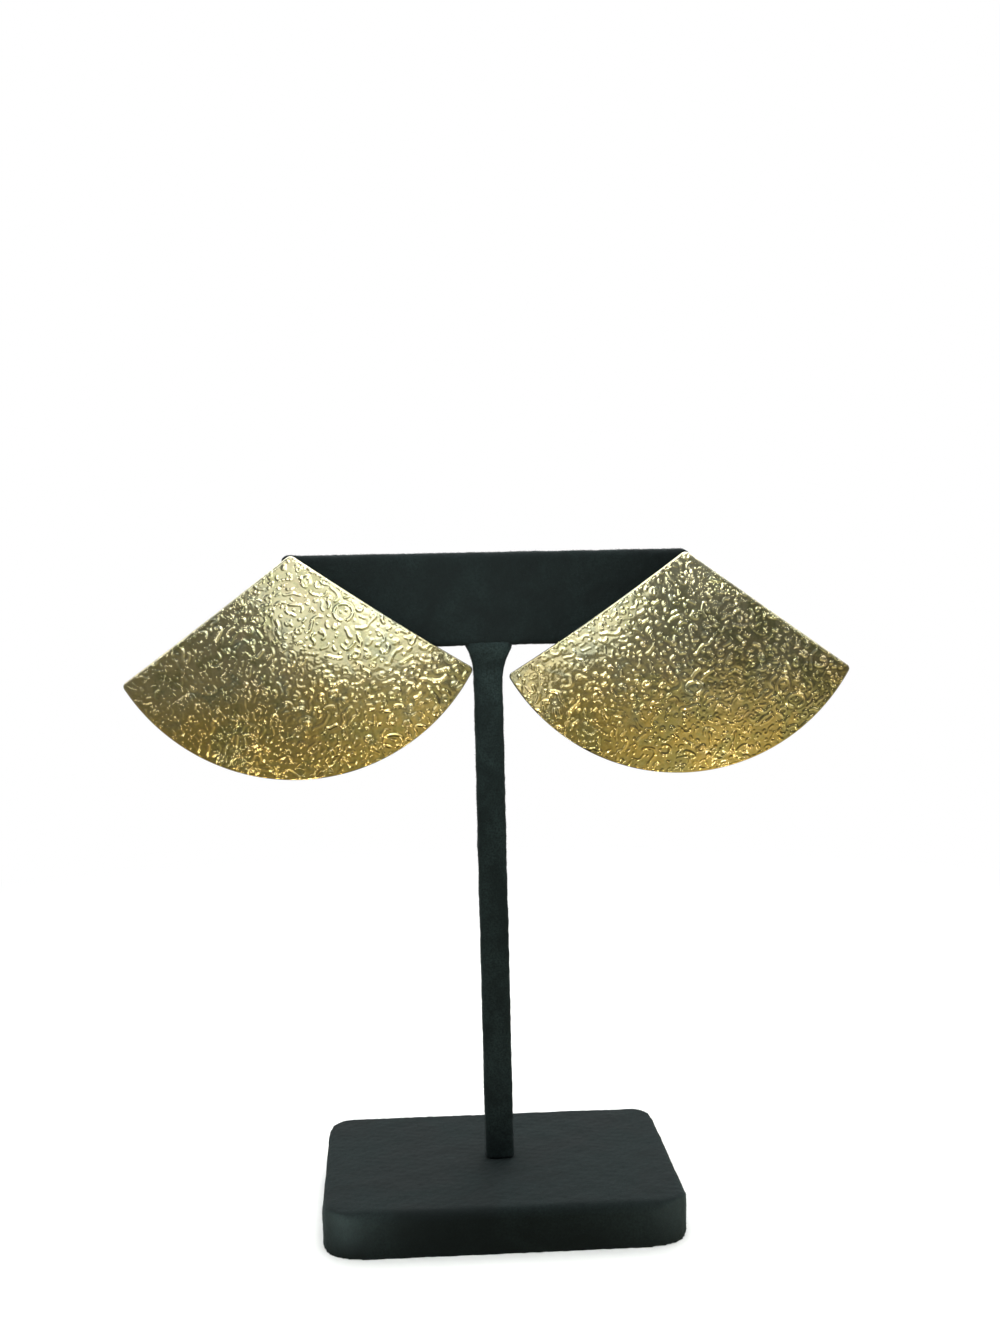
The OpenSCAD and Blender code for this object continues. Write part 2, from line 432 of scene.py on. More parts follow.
def ring_path(across, down, half_width, half_height):
    """Points along an oval that is left a little open."""
    start = -1.2
    end = 4.4
    around = np.arange(start, end, 0.9 * GRID_STEP / max(half_width, half_height))
    return np.stack([across + half_width * np.cos(around), down - half_height * np.sin(around)], -1)


def lay_rings(side, ground):
    """The few large rings of a fan."""
    for ring in RINGS[side]:
        path = ring_path(*ring)
        ground.lay(path, RING_RIDGE, RING_GAP, np.full(len(path), RING_HEIGHT))


def lay_furrows(rng, side, ground):
    """A patch of long, nearly parallel furrows low on the fan."""
    for _ in range(FURROW_TRIES):
        start = np.array(FURROW_PLACE[side]) + rng.uniform(-1, 1, 2) * FURROW_PATCH
        if ground.taken[grid_place(start)]:
            continue
        heading = FURROW_LEAN[side] + rng.choice((-1, 1)) * math.pi / 2 + rng.normal(0, FURROW_TURN)
        bend = rng.normal(0, FURROW_BEND)
        path = ground.worm_path(rng, start, heading, bend, rng.uniform(*FURROW_LENGTH))
        if len(path) * GRID_STEP > SHORTEST_FURROW:
            half_width = rng.uniform(*FURROW_RIDGE)
            ground.lay(path, half_width, FURROW_GAP, np.full(len(path), rng.uniform(*FURROW_HEIGHT)))


def lay_worms(rng, kind, sizes, flow, ground):
    """Worms of one kind, scattered wherever the ground is free for one long enough."""
    tries, shortest, longest, least_bend, greatest_bend = kind
    for _ in range(tries):
        start = rng.uniform(*WORM_AREA)
        spot = grid_place(start)
        if ground.taken[spot]:
            continue
        size = sizes[spot]
        heading = flow[spot] + rng.normal(0, WORM_TURN)
        bend = rng.choice((-1, 1)) * rng.uniform(least_bend, greatest_bend) / size
        path = ground.worm_path(rng, start, heading, bend, size * rng.uniform(shortest, longest))
        if len(path) * GRID_STEP < SHORTEST_SHARE * shortest:
            continue
        heights = np.full(len(path), rng.uniform(*WORM_HEIGHT))
        if rng.uniform() < BEADED_SHARE:
            beads = np.cos(np.arange(len(path)) * 2 * math.pi / BEAD_STEPS)
            heights = heights * (0.65 + 0.35 * beads)
        ground.lay(path, size * rng.uniform(*WORM_RIDGE), WORM_GAP * size, heights)


def calmness(side, across, down):
    """Share by which the relief is lowered in the fan's calm place."""
    middle_across, middle_down, half_width, half_height, share = CALM[side]
    away = np.hypot((across - middle_across) / half_width, (down - middle_down) / half_height)
    return share * np.exp(-away ** 2)


def worm_field(rng, side):
    """Embossed rings, furrows, worms and dots spread over the fan without touching each other."""
    across, down = grid_lines()
    inward = across if side == "left" else -across
    growth = 0.6 * cloud_noise(rng, 6.0) + SIZE_GROWTH[side] * inward
    sizes = 1.0 + SIZE_RANGE[side] * np.tanh(growth)
    flow = 2.5 * cloud_noise(rng, 8.0)
    overlap = 0.3
    ground = Ground(inset_of(across, down) < -overlap)
    lay_rings(side, ground)
    lay_furrows(rng, side, ground)
    for kind in WORM_KINDS:
        lay_worms(rng, kind, sizes, flow, ground)
    return ground.relief() * (1 - calmness(side, across, down))


def relief_pattern(side):
    """Embossed relief on a grid over the fan, 1 at the ridge tops."""
    rng = np.random.default_rng(RELIEF_SEED[side])
    worms = worm_field(rng, side)
    coarse = band_noise(rng, 2.2, 0.4)
    fine = band_noise(rng, 1.4, 0.35)
    height = RELIEF_GROUND + COARSE_SWELL * np.tanh(coarse) + FINE_SWELL * np.tanh(fine)
    return np.clip(height + WORM_RISE * worms, 0, 1)


def sample_grid(grid, across, down):
    """Value of a grid over the fan at points given in millimetres, blended between samples."""
    column = np.clip((across + GRID_LEFT) / GRID_STEP, 0, grid.shape[1] - 2)
    row = np.clip((down + GRID_ABOVE) / GRID_STEP, 0, grid.shape[0] - 2)
    left = column.astype(int)
    top = row.astype(int)
    share_right = column - left
    share_below = row - top
    upper = grid[top, left] * (1 - share_right) + grid[top, left + 1] * share_right
    lower = grid[top + 1, left] * (1 - share_right) + grid[top + 1, left + 1] * share_right
    return upper * (1 - share_below) + lower * share_below


# Fan earring

def clock(angle):
    """Direction at an angle clockwise from straight up, as (across, down)."""
    return np.stack([np.sin(angle), -np.cos(angle)], -1)


def fan_outline(inset):
    """The fan's closed outline moved in by inset, as (across, down) points with even steps."""
    point_round = max(POINT_ROUNDING - inset, SHARPEST)
    tip_round = max(TIP_ROUNDING - inset, SHARPEST)
    edge_way = np.array([math.sin(HALF_ANGLE), math.cos(HALF_ANGLE)])
    edge_angle = math.pi / 2 - HALF_ANGLE
    edge_out = clock(edge_angle)
    arc_centre = np.array([0, ARC_DROP])
    point_centre = np.array([0, (inset + point_round) / math.sin(HALF_ANGLE)])
    foot = -edge_out * (inset + tip_round)
    gap = foot - arc_centre
    along = gap @ edge_way
    reach = ARC_RADIUS - inset - tip_round
    run = -along + math.sqrt(along ** 2 - gap @ gap + reach ** 2)
    tip_centre = foot + run * edge_way
    out = (tip_centre - arc_centre) / reach
    tip_angle = math.atan2(out[0], -out[1])
    edge_steps = int(EDGE_RUN / EDGE_STEP)
    corner_steps = 8
    corner = np.linspace(0, 1, corner_steps, endpoint=False)[:, None]
    edge = np.linspace(0, 1, edge_steps, endpoint=False)[:, None]
    start = point_centre + point_round * edge_out
    end = tip_centre + tip_round * edge_out
    half = np.concatenate([
        point_centre + point_round * clock(corner[:, 0] * edge_angle),
        start + (end - start) * edge,
        tip_centre + tip_round * clock(edge_angle + corner[:, 0] * (tip_angle - edge_angle)),
        arc_centre + (ARC_RADIUS - inset) * clock(tip_angle + edge[:, 0] * (math.pi - tip_angle)),
    ])
    bottom = arc_centre + np.array([[0, ARC_RADIUS - inset]])
    other = half[:0:-1] * np.array([-1, 1])
    return np.concatenate([half, bottom, other])


def inset_of(across, down):
    """How far a point lies inside the fan's sharp outline."""
    side = np.sin(HALF_ANGLE) * down - np.cos(HALF_ANGLE) * np.abs(across)
    return np.minimum(side, ARC_RADIUS - np.hypot(across, down - ARC_DROP))


def fan_field(ring, inset, step):
    """Lattice points inside a ring and the triangles that join them to it."""
    rows = np.arange(0.2, FAN_HEIGHT, step * math.sqrt(3) / 2)
    clear_of_ring = 0.62 * step
    points = []
    for number, row in enumerate(rows):
        across = np.arange(-FAN_HALF_WIDTH, FAN_HALF_WIDTH, step) + (number % 2) * step / 2
        inside = inset_of(across, row) > inset + clear_of_ring
        points.append(np.stack([across[inside], np.full(inside.sum(), row)], -1))
    inner = np.concatenate(points)
    count = len(ring)
    every = np.concatenate([ring, inner])
    made = delaunay_2d_cdt([Vector(p) for p in every], [], [list(range(count))], 1, 1e-7, True)
    source = np.array([origins[0] for origins in made[3]])
    return inner, source[np.array(made[2])]


def plate_points(across, down, depth):
    """Places points of the plate, depth in from the front of the dome, in the hanging fan's frame."""
    away = -np.sqrt((DOME_RADIUS - depth) ** 2 - across ** 2 - (down - CROWN_DROP) ** 2)
    points = np.stack([across, away, CROWN_DROP - down], -1)
    tilt = math.asin((CROWN_DROP - POST_DROP) / DOME_RADIUS)
    move = Matrix.Translation((0, DOME_RADIUS, 0)) @ Matrix.Rotation(tilt, 4, "X")
    return moved(points, move)


def moved(points, matrix):
    """Points turned and shifted by a matrix."""
    turn = np.array(matrix.to_3x3())
    return points @ turn.T + np.array(matrix.translation)


def edge_rings():
    """Inset, depth, share of the relief and inset of an upright wall, for each ring to the back."""
    rings = [(BEND_INSET, 0.0, 1.0, BEND_INSET)]
    for step in range(1, BEND_STEPS + 1):
        angle = step / BEND_STEPS * math.pi / 2
        inset = BEND_INSET * (1 - math.sin(angle))
        rings.append((inset, BEND_DEPTH * (1 - math.cos(angle)), 1 - step / BEND_STEPS, inset))
    soft = 0.08
    foot = LIP_DRAFT * (LIP_DEPTH - BEND_DEPTH)
    rings += [
        (foot * 0.45, 0.75, 0.0, 0.0),
        (foot, LIP_DEPTH - soft, 0.0, 0.0),
        (foot + soft / 3, LIP_DEPTH - soft / 3, 0.0, soft / 3),
        (foot + soft, LIP_DEPTH, 0.0, soft),
    ]
    inside = [
        (LIP_WIDTH - soft, LIP_DEPTH),
        (LIP_WIDTH - soft / 3, LIP_DEPTH - soft / 3),
        (LIP_WIDTH, LIP_DEPTH - soft),
        (LIP_WIDTH, SHEET + 0.15),
        (LIP_WIDTH + 0.05, SHEET + 0.05),
        (LIP_WIDTH + 0.17, SHEET),
    ]
    return rings + [(inset, depth, 0.0, inset) for inset, depth in inside]


def fan_plan():
    """What both fans share: the outlines of the edge's rings, and the face's and back's fields."""
    rings = edge_rings()
    outlines = [fan_outline(inset) for inset, _, _, _ in rings]
    upright = [fan_outline(inset) for _, _, _, inset in rings]
    face = fan_field(outlines[0], rings[0][0], FACE_STEP)
    back = fan_field(outlines[-1], rings[-1][0], BACK_STEP)
    return rings, outlines, upright, face, back


def shifted(triangles, count, ring_start, inner_start):
    """Points a field's triangles at the mesh's own ring and inner points."""
    return np.where(triangles < count, triangles + ring_start, triangles - count + inner_start)


def outer_share(ring, inner_way):
    """1 along the straight edge at the fan's outer side, where the lip is upright and carries a painted
    highlight, and 0 elsewhere.
    """
    return smooth_step(-ring[:, 0] * inner_way, *OUTER_FADE) * smooth_step(ring[:, 1], *OUTER_FOOT)


def edge_points(side, plan, pattern):
    """Points, ridge share and painted rim of the edge's rings; the painted rim is 1 where painted shade
    lies along the inner side and -1 where a painted highlight lies along the outer.
    """
    rings, outlines, upright = plan[:3]
    inner_way = 1 if side == "left" else -1
    points = []
    ridge = []
    painted_rim = []
    for (_, depth, share, _), drafted, straight in zip(rings, outlines, upright):
        outer = outer_share(drafted, inner_way)
        ring = drafted + (straight - drafted) * outer[:, None]
        height = sample_grid(pattern, *ring.T)
        dip = RELIEF_DEPTH * (1 - height) * share
        points.append(plate_points(*ring.T, depth + dip))
        ridge.append(1 - (1 - height) * share)
        inner = smooth_step(ring[:, 0] * inner_way, *INNER_SHADE)
        painted_rim.append((1 - share) * (inner - outer))
    return np.concatenate(points), np.concatenate(ridge), np.concatenate(painted_rim)


def face_points(inner, pattern):
    """Points and ridge share of the embossed face inside its ring."""
    height = sample_grid(pattern, *inner.T)
    return plate_points(*inner.T, RELIEF_DEPTH * (1 - height)), height


def back_points(inner, pattern, ring_inset):
    """Points and ridge share of the back, where the relief shows as soft dents."""
    stand_out = 0.03
    dent_depth = 0.07
    height = sample_grid(pattern, *inner.T)
    inward = np.clip(inset_of(*inner.T) - ring_inset, 0, 1)
    dents = dent_depth * (1 - height) * inward
    return plate_points(*inner.T, SHEET - stand_out + dents), 0.4 + 0.4 * height


def fan_mesh(side, plan, pattern):
    """Points, faces, ridge share and painted rim of one fan with its post."""
    rings, outlines, _, (face, face_triangles), (back, back_triangles) = plan
    count = len(outlines[0])
    edge, edge_ridge, painted_rim = edge_points(side, plan, pattern)
    front, front_ridge = face_points(face, pattern)
    rear, rear_ridge = back_points(back, pattern, rings[-1][0])
    post, post_faces = post_mesh()
    front_start = len(edge)
    rear_start = front_start + len(front)
    post_start = rear_start + len(rear)
    faces = [ring_faces(number * count, (number + 1) * count, count) for number in range(len(rings) - 1)]
    faces.append(shifted(face_triangles, count, 0, front_start))
    faces.append(shifted(back_triangles, count, count * (len(rings) - 1), rear_start))
    faces += [part + post_start for part in post_faces]
    points = np.concatenate([edge, front, rear, post])
    ridge = np.concatenate([edge_ridge, front_ridge, rear_ridge, np.full(len(post), 0.9)])
    painted_rim = np.concatenate([painted_rim, np.zeros(len(points) - len(painted_rim))])
    return points, faces, ridge, painted_rim


def post_mesh():
    """The post with its little cone of solder, its front end inside the sheet."""
    solder = 0.75
    buried = 0.25
    tip = 0.16
    sides = 28
    profile = [(POST_RADIUS + solder, SHEET - buried)]
    profile += arc_profile((POST_RADIUS + solder, SHEET + solder), -solder, 90, 0, 7)
    profile += arc_profile((POST_RADIUS - tip, POST_LENGTH - tip), tip, 0, 80, 4)
    return capped_lathe(profile, sides)


def hanging(side):
    """Where the fan's post starts: level with the nut, in front of the head."""
    low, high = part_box(side + "_nut")
    head_low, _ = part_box("stand_head")
    place = Vector(((low.x + high.x) / 2, head_low.y, (low.z + high.z) / 2)) / MM
    place.y -= STAND_OFF
    return Matrix.Translation(place) @ Matrix.Rotation(-TURN[side], 4, "Y")


def build_fan(side, plan, material):
    """One fan earring in place of its plain solid."""
    points, faces, ridge, painted_rim = fan_mesh(side, plan, relief_pattern(side))
    piece = add_mesh(side + "_fan_earring", moved(points, hanging(side)), faces, material)
    for name, values in (("ridge", ridge), ("painted_rim", painted_rim)):
        layer = piece.data.attributes.new(name, "FLOAT", "POINT")
        layer.data.foreach_set("value", values.astype(np.float32))
    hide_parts(side + "_fan")


# Nuts

def nut_profile(bore, disc, length):
    """Outline of a friction nut: a flat disc, a barrel with two grooves, and a countersunk bore."""
    barrel = 1.4
    thick = 0.6
    under_edge = 0.12
    upper_edge = 0.2
    fillet = 0.18
    end_edge = 0.22
    groove_floor = barrel - 0.08
    profile = [(bore, 0.15), (bore + 0.12, 0.0)]
    profile += arc_profile((disc - under_edge, under_edge), under_edge, -90, 0, 4)
    profile += arc_profile((disc - upper_edge, thick - upper_edge), upper_edge, 0, 90, 5)
    profile += arc_profile((barrel + fillet, thick + fillet), fillet, 270, 180, 4)
    for groove in (1.2, 1.65):
        profile += [(barrel, groove - 0.12), (groove_floor, groove - 0.05)]
        profile += [(groove_floor, groove + 0.05), (barrel, groove + 0.12)]
    profile += arc_profile((barrel - end_edge, length - end_edge), end_edge, 0, 90, 5)
    return profile + [(bore + 0.15, length), (bore, length - 0.18)]


def build_nut(side, material):
    """A turned friction nut with softened edges, in place of its plain solid."""
    sides = 64
    clearance = 0.05
    low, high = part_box(side + "_nut")
    length = (high.y - low.y) / MM
    disc = (high.x - low.x) / MM / 2
    profile = nut_profile(POST_RADIUS + clearance, disc, length)
    points, faces = lathe(profile, sides)
    faces.append(ring_faces((len(profile) - 1) * sides, 0, sides))
    centre = np.array([(low.x + high.x) / 2, low.y, (low.z + high.z) / 2]) / MM
    piece = add_mesh(side + "_friction_nut", points + centre, faces, material)
    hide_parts(side + "_nut")


# Velvet stand

def wave_noise(points, size, seed):
    """Smooth seeded noise at points, with swells about size millimetres long."""
    waves = 28
    rng = np.random.default_rng(seed)
    ways = rng.standard_normal((waves, 3))
    ways *= 2 * math.pi / size / np.linalg.norm(ways, axis=1, keepdims=True)
    ways *= rng.uniform(0.6, 1.4, (waves, 1))
    shifts = rng.uniform(0, 2 * math.pi, waves)
    return np.sin(points @ ways.T + shifts).sum(1) * math.sqrt(2 / waves)


def covering_mesh(node, voxel):
    """The node's own solid as one even mesh of small faces, so that its covering can be worked."""
    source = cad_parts[node]
    work = bmesh.new()
    work.from_mesh(source.data)
    bmesh.ops.remove_doubles(work, verts=work.verts, dist=0.002 * MM)
    bmesh.ops.recalc_face_normals(work, faces=work.faces)
    mesh = bpy.data.meshes.new(node + "_cover")
    work.to_mesh(mesh)
    work.free()
    helper = in_scene(node + "_cover", mesh)
    remesh = helper.modifiers.new("even", "REMESH")
    remesh.mode = "VOXEL"
    remesh.voxel_size = voxel * MM
    depsgraph = bpy.context.evaluated_depsgraph_get()
    made = bpy.data.meshes.new_from_object(helper.evaluated_get(depsgraph))
    bpy.data.objects.remove(helper)
    bpy.data.meshes.remove(mesh)
    return made


def mesh_arrays(mesh):
    """Points and normals of a mesh, in millimetres, and its triangles."""
    mesh.calc_loop_triangles()
    wanted = ((mesh.vertices, "co"), (mesh.vertex_normals, "vector"), (mesh.loop_triangles, "vertices"))
    rows = []
    for items, name in wanted:
        values = np.zeros(len(items) * 3, int if name == "vertices" else float)
        items.foreach_get(name, values)
        rows.append(values.reshape(-1, 3))
    return rows[0] / MM, rows[1], rows[2]


def unit(ways):
    """The same directions, each with a length of 1."""
    return ways / np.linalg.norm(ways, axis=1, keepdims=True)


def scattered(points, triangles, per_mm2, rng):
    """Seeded places spread evenly over a mesh, and the way out of it at each."""
    a, b, c = (points[triangles[:, corner]] for corner in range(3))
    cross = np.cross(b - a, c - a)
    area = np.linalg.norm(cross, axis=1) / 2
    number = int(area.sum() * per_mm2)
    pick = rng.choice(len(triangles), number, p=area / area.sum())
    s = np.sqrt(rng.uniform(0, 1, number))[:, None]
    t = rng.uniform(0, 1, number)[:, None]
    places = (1 - s) * a[pick] + s * (1 - t) * b[pick] + s * t * c[pick]
    return places, cross[pick] / (2 * area[pick])[:, None]


def off_the_underside(root, out):
    """Which hairs stand clear of the flat face that the stand rests on."""
    return (out[:, 2] > -0.5) & (root[:, 2] > 0.4)


def pile_hairs(root, out, rng):
    """Thin closed spikes that stand out of the covering at their roots and lean with the nap."""
    number = len(root)
    lean = rng.standard_normal((number, 3)) * NAP_SPREAD + NAP_LEAN
    way = unit(out + lean)
    length = rng.uniform(*HAIR_LENGTH, number)[:, None]
    side = unit(np.cross(way, rng.standard_normal((number, 3))))
    other = np.cross(way, side)
    wide = rng.uniform(*HAIR_HALF_WIDTH, number)[:, None]
    root = root - HAIR_ROOT * out
    hairs = np.stack([
        root + wide * side,
        root + wide * (-0.5 * side + 0.87 * other),
        root + wide * (-0.5 * side - 0.87 * other),
        root + (length + HAIR_ROOT) * way,
    ], 1)
    first = np.arange(number)[:, None, None] * 4
    spike = np.array([[0, 2, 1], [0, 1, 3], [1, 2, 3], [2, 0, 3]])
    return hairs.reshape(-1, 3), (first + spike).reshape(-1, 3)


def drawn_up(points, high):
    """The stem's velvet, leaning a little and drawn up in front over the head's lower edge."""
    tongue = 5.0
    lean = 0.0058
    lean_centre = 50
    forward = 0.9
    upward = 0.7
    up = points[:, 2]
    edge = high[2] - tongue
    aside = lean * (up - lean_centre) * (1 - smooth_step(up, edge - 7, edge))
    front = np.clip((0.5 - points[:, 1]) / 1.7, 0, 1)
    ahead = forward * smooth_step(up, edge - 4.5, edge) * front
    lift = upward * smooth_step(up, edge - 0.8, edge) * front
    return points + np.stack([-aside, -ahead, lift], -1)


def folded_corner(points, low, high):
    """The head's velvet, with a soft fold that stands out at its upper left corner."""
    fold_size = 1.2
    inward = 0.3
    stand_out = np.array([-0.35, 0.0, 0.25])
    away = np.hypot(points[:, 0] - low[0] - inward, points[:, 2] - high[2] + inward)
    fold = np.exp(-((away / fold_size) ** 2))
    return points + fold[:, None] * stand_out


def build_velvet(part):
    """A velvet-covered piece of the stand: slightly uneven, with pile hairs all over."""
    voxel, stand_out, hairs_per_mm2, tone, brushing, seed = VELVETS[part]
    material = velvet_material("velvet_" + part, tone, brushing)
    node = "stand_" + part
    cover = covering_mesh(node, voxel)
    points, normals, triangles = mesh_arrays(cover)
    bpy.data.meshes.remove(cover)
    low, high = (np.array(corner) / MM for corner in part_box(node))
    swell = SWELL * wave_noise(points, LONG_SWELL, seed)
    swell = swell + SWELL * wave_noise(points, SHORT_SWELL, seed + 1)
    points = points + normals * (swell + stand_out)[:, None]
    if part == "stem":
        points = drawn_up(points, high)
    if part == "head":
        points = folded_corner(points, low, high)
    points[:, 2] = np.maximum(points[:, 2], low[2])
    rng = np.random.default_rng(seed + 2)
    root, out = scattered(points, triangles, hairs_per_mm2, rng)
    if part == "base":
        kept = off_the_underside(root, out)
        root = root[kept]
        out = out[kept]
    hairs, hair_faces = pile_hairs(root, out, rng)
    faces = [triangles, hair_faces + len(points)]
    every = np.concatenate([points, hairs])
    piece = add_mesh("velvet_" + part, every, faces, material)
    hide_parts(node)


# Shader nodes

class Wiring:
    """Adds nodes to one node tree and joins them."""

    def __init__(self, tree):
        self.tree = tree

    def node(self, kind, values=None, **settings):
        """A new node with its settings, and values or links fed to its inputs."""
        made = self.tree.nodes.new(kind)
        for name, value in settings.items():
            setattr(made, name, value)
        self.fill(made, values or {})
        return made

    def fill(self, made, values):
        """Feeds values or links to a node's inputs, by name or number."""
        for name, value in values.items():
            self.feed(made.inputs[name], value)

    def feed(self, socket, value):
        """Links a socket to an input, or sets the input to a plain value."""
        if isinstance(value, bpy.types.NodeSocket):
            self.tree.links.new(value, socket)
        else:
            socket.default_value = value

    def math(self, operation, a, b=0.0, c=0.0, clamp=False):
        """Result of one sum, product or the like."""
        given = {0: a, 1: b, 2: c}
        return self.node("ShaderNodeMath", given, operation=operation, use_clamp=clamp).outputs[0]

    def mix(self, factor, a, b):
        """Colour a where factor is 0 and colour b where it is 1."""
        return self.node("ShaderNodeMix", {0: factor, 6: a, 7: b}, data_type="RGBA").outputs[2]

    def ramp(self, value, low, high, to_low=0.0, to_high=1.0):
        """Runs softly from to_low where value is low to to_high where it is high."""
        given = {"Value": value, "From Min": low, "From Max": high, "To Min": to_low, "To Max": to_high}
        return self.node("ShaderNodeMapRange", given, interpolation_type="SMOOTHSTEP").outputs[0]

    def noise(self, where, size, detail=2.0, rough=0.5, warp=0.0):
        """Noise with features about size millimetres across; a socket is taken as the scale itself."""
        scale = size if isinstance(size, bpy.types.NodeSocket) else 1 / (size * MM)
        given = {"Vector": where, "Scale": scale, "Detail": detail, "Roughness": rough, "Distortion": warp}
        return self.node("ShaderNodeTexNoise", given).outputs[0]


def new_group(name, inputs, outputs):
    """A shader node group; an input of None is a place, the others are numbers, and so are outputs."""
    group = bpy.data.node_groups.new(name, "ShaderNodeTree")
    for socket, value in inputs.items():
        kind = "NodeSocketVector" if value is None else "NodeSocketFloat"
        made = group.interface.new_socket(socket, in_out="INPUT", socket_type=kind)
        if value is not None:
            made.default_value = value
    for socket in outputs:
        group.interface.new_socket(socket, in_out="OUTPUT", socket_type="NodeSocketFloat")
    entry = group.nodes.new("NodeGroupInput")
    leave = group.nodes.new("NodeGroupOutput")
    return Wiring(group), entry.outputs, leave.inputs


def stain_group():
    """Group for soft-edged stains of one size: a mask from 0 to 1."""
    inputs = {"Place": None, "Fineness": 200.0, "Cover": 0.5, "Softness": 0.1, "Shift": 0.0}
    s, given, result = new_group("stains", inputs, ["Mask"])
    moved_by = s.node("ShaderNodeCombineXYZ", {"X": given["Shift"], "Z": given["Shift"]})
    place = s.node("ShaderNodeVectorMath", {0: given["Place"], 1: moved_by.outputs[0]}, operation="ADD")
    clouds = s.noise(place.outputs[0], given["Fineness"], 3.0, 0.55, 0.6)
    low = s.math("SUBTRACT", 1.0, given["Cover"])
    high = s.math("ADD", low, given["Softness"])
    s.feed(result["Mask"], s.ramp(clouds, low, high))


def grain_group():
    """Group for the fine uneven grain of worked metal: a height and a mask of its tops."""
    inputs = {"Place": None, "Fineness": 3000.0, "Pits": 0.3}
    s, given, result = new_group("metal_grain", inputs, ["Height", "Mask"])
    broad = s.noise(given["Place"], given["Fineness"], 3.0, 0.6, 0.3)
    finer = s.math("MULTIPLY", given["Fineness"], 2.7)
    pits = s.node("ShaderNodeTexVoronoi", {"Vector": given["Place"], "Scale": finer})
    dips = s.math("MULTIPLY", s.ramp(pits.outputs["Distance"], 0.0, 0.45, 1.0, 0.0), given["Pits"])
    s.feed(result["Height"], s.math("SUBTRACT", broad, dips))
    s.feed(result["Mask"], s.ramp(broad, 0.4, 0.65))


def wear_and_shade_group():
    """Group for where ridges are rubbed bright and hollows stay dull, darkened partly by tarnish and
    partly by painted shade.
    """
    inputs = {"Place": None, "Ridge": 0.5, "Low": 0.2, "High": 0.8}
    s, given, result = new_group("ridge_wear_and_painted_shade", inputs, ["Bright"])
    patch = s.noise(given["Place"], 4.0, 2.0, 0.5, 0.0)
    raised = s.math("MULTIPLY_ADD", patch, 0.5, given["Ridge"])
    level = s.math("SUBTRACT", raised, 0.25)
    s.feed(result["Bright"], s.ramp(level, given["Low"], given["High"]))


def nap_group():
    """Group for velvet nap: brushed patches, fine pile speckle where painted shade darkens the pile, and a
    pile height.
    """
    inputs = {"Place": None, "Pile": 3000.0, "Brushing": 120.0}
    s, given, result = new_group("velvet_nap", inputs, ["Brushed", "Speckle", "Height"])
    brushed = s.noise(given["Place"], given["Brushing"], 3.0, 0.55, 0.8)
    speckle = s.noise(given["Place"], given["Pile"], 2.0, 0.7, 0.0)
    s.feed(result["Brushed"], s.ramp(brushed, 0.35, 0.68))
    s.feed(result["Speckle"], s.ramp(speckle, 0.3, 0.72))
    s.feed(result["Height"], speckle)


def new_material(name):
    """An empty material with its Principled shader and object coordinates."""
    material = bpy.data.materials.new(name)
    material.use_nodes = True
    tree = material.node_tree
    tree.nodes.clear()
    s = Wiring(tree)
    shader = s.node("ShaderNodeBsdfPrincipled")
    s.node("ShaderNodeOutputMaterial", {"Surface": shader.outputs[0]})
    place = s.node("ShaderNodeTexCoord").outputs["Object"]
    return material, s, shader, place


def add_bump(s, shader, strength, distance, height):
    """Fine unevenness of the surface, distance millimetres high."""
    bump = s.node("ShaderNodeBump", {"Strength": strength, "Distance": distance * MM, "Height": height})
    s.fill(shader, {"Normal": bump.outputs[0]})


def by_eye(s, seen, lit):
    """Shader that the eye meets as seen, and that lights and is mirrored as lit."""
    ray = s.node("ShaderNodeLightPath").outputs["Is Camera Ray"]
    return s.node("ShaderNodeMixShader", {0: ray, 1: lit, 2: seen}).outputs[0]


def use_group(s, name, values):
    """Outputs of the named node group, placed in a material with its own values."""
    return s.node("ShaderNodeGroup", values, node_tree=bpy.data.node_groups[name]).outputs


def stain_mask(s, place, fineness, cover, softness, shift):
    """Mask of one kind of stain."""
    given = {"Place": place, "Fineness": fineness, "Cover": cover, "Softness": softness, "Shift": shift}
    return use_group(s, "stains", given)["Mask"]


def plating_with_painted_pale_top(s, place, height):
    """Clean plating: golden low on the fans and paler near their tops, where the pale reflection of the
    bright light above them is painted in, with a wavering border.
    """
    golden_to = 0.083
    pale_from = 0.105
    waver = 0.02
    drift = s.noise(place, 9.0, 3.0, 0.5, 0.4)
    level = s.math("MULTIPLY_ADD", drift, waver, height)
    return s.mix(s.ramp(level, golden_to, pale_from), GOLD, PAINTED_PALE_REFLECTION_GOLD)


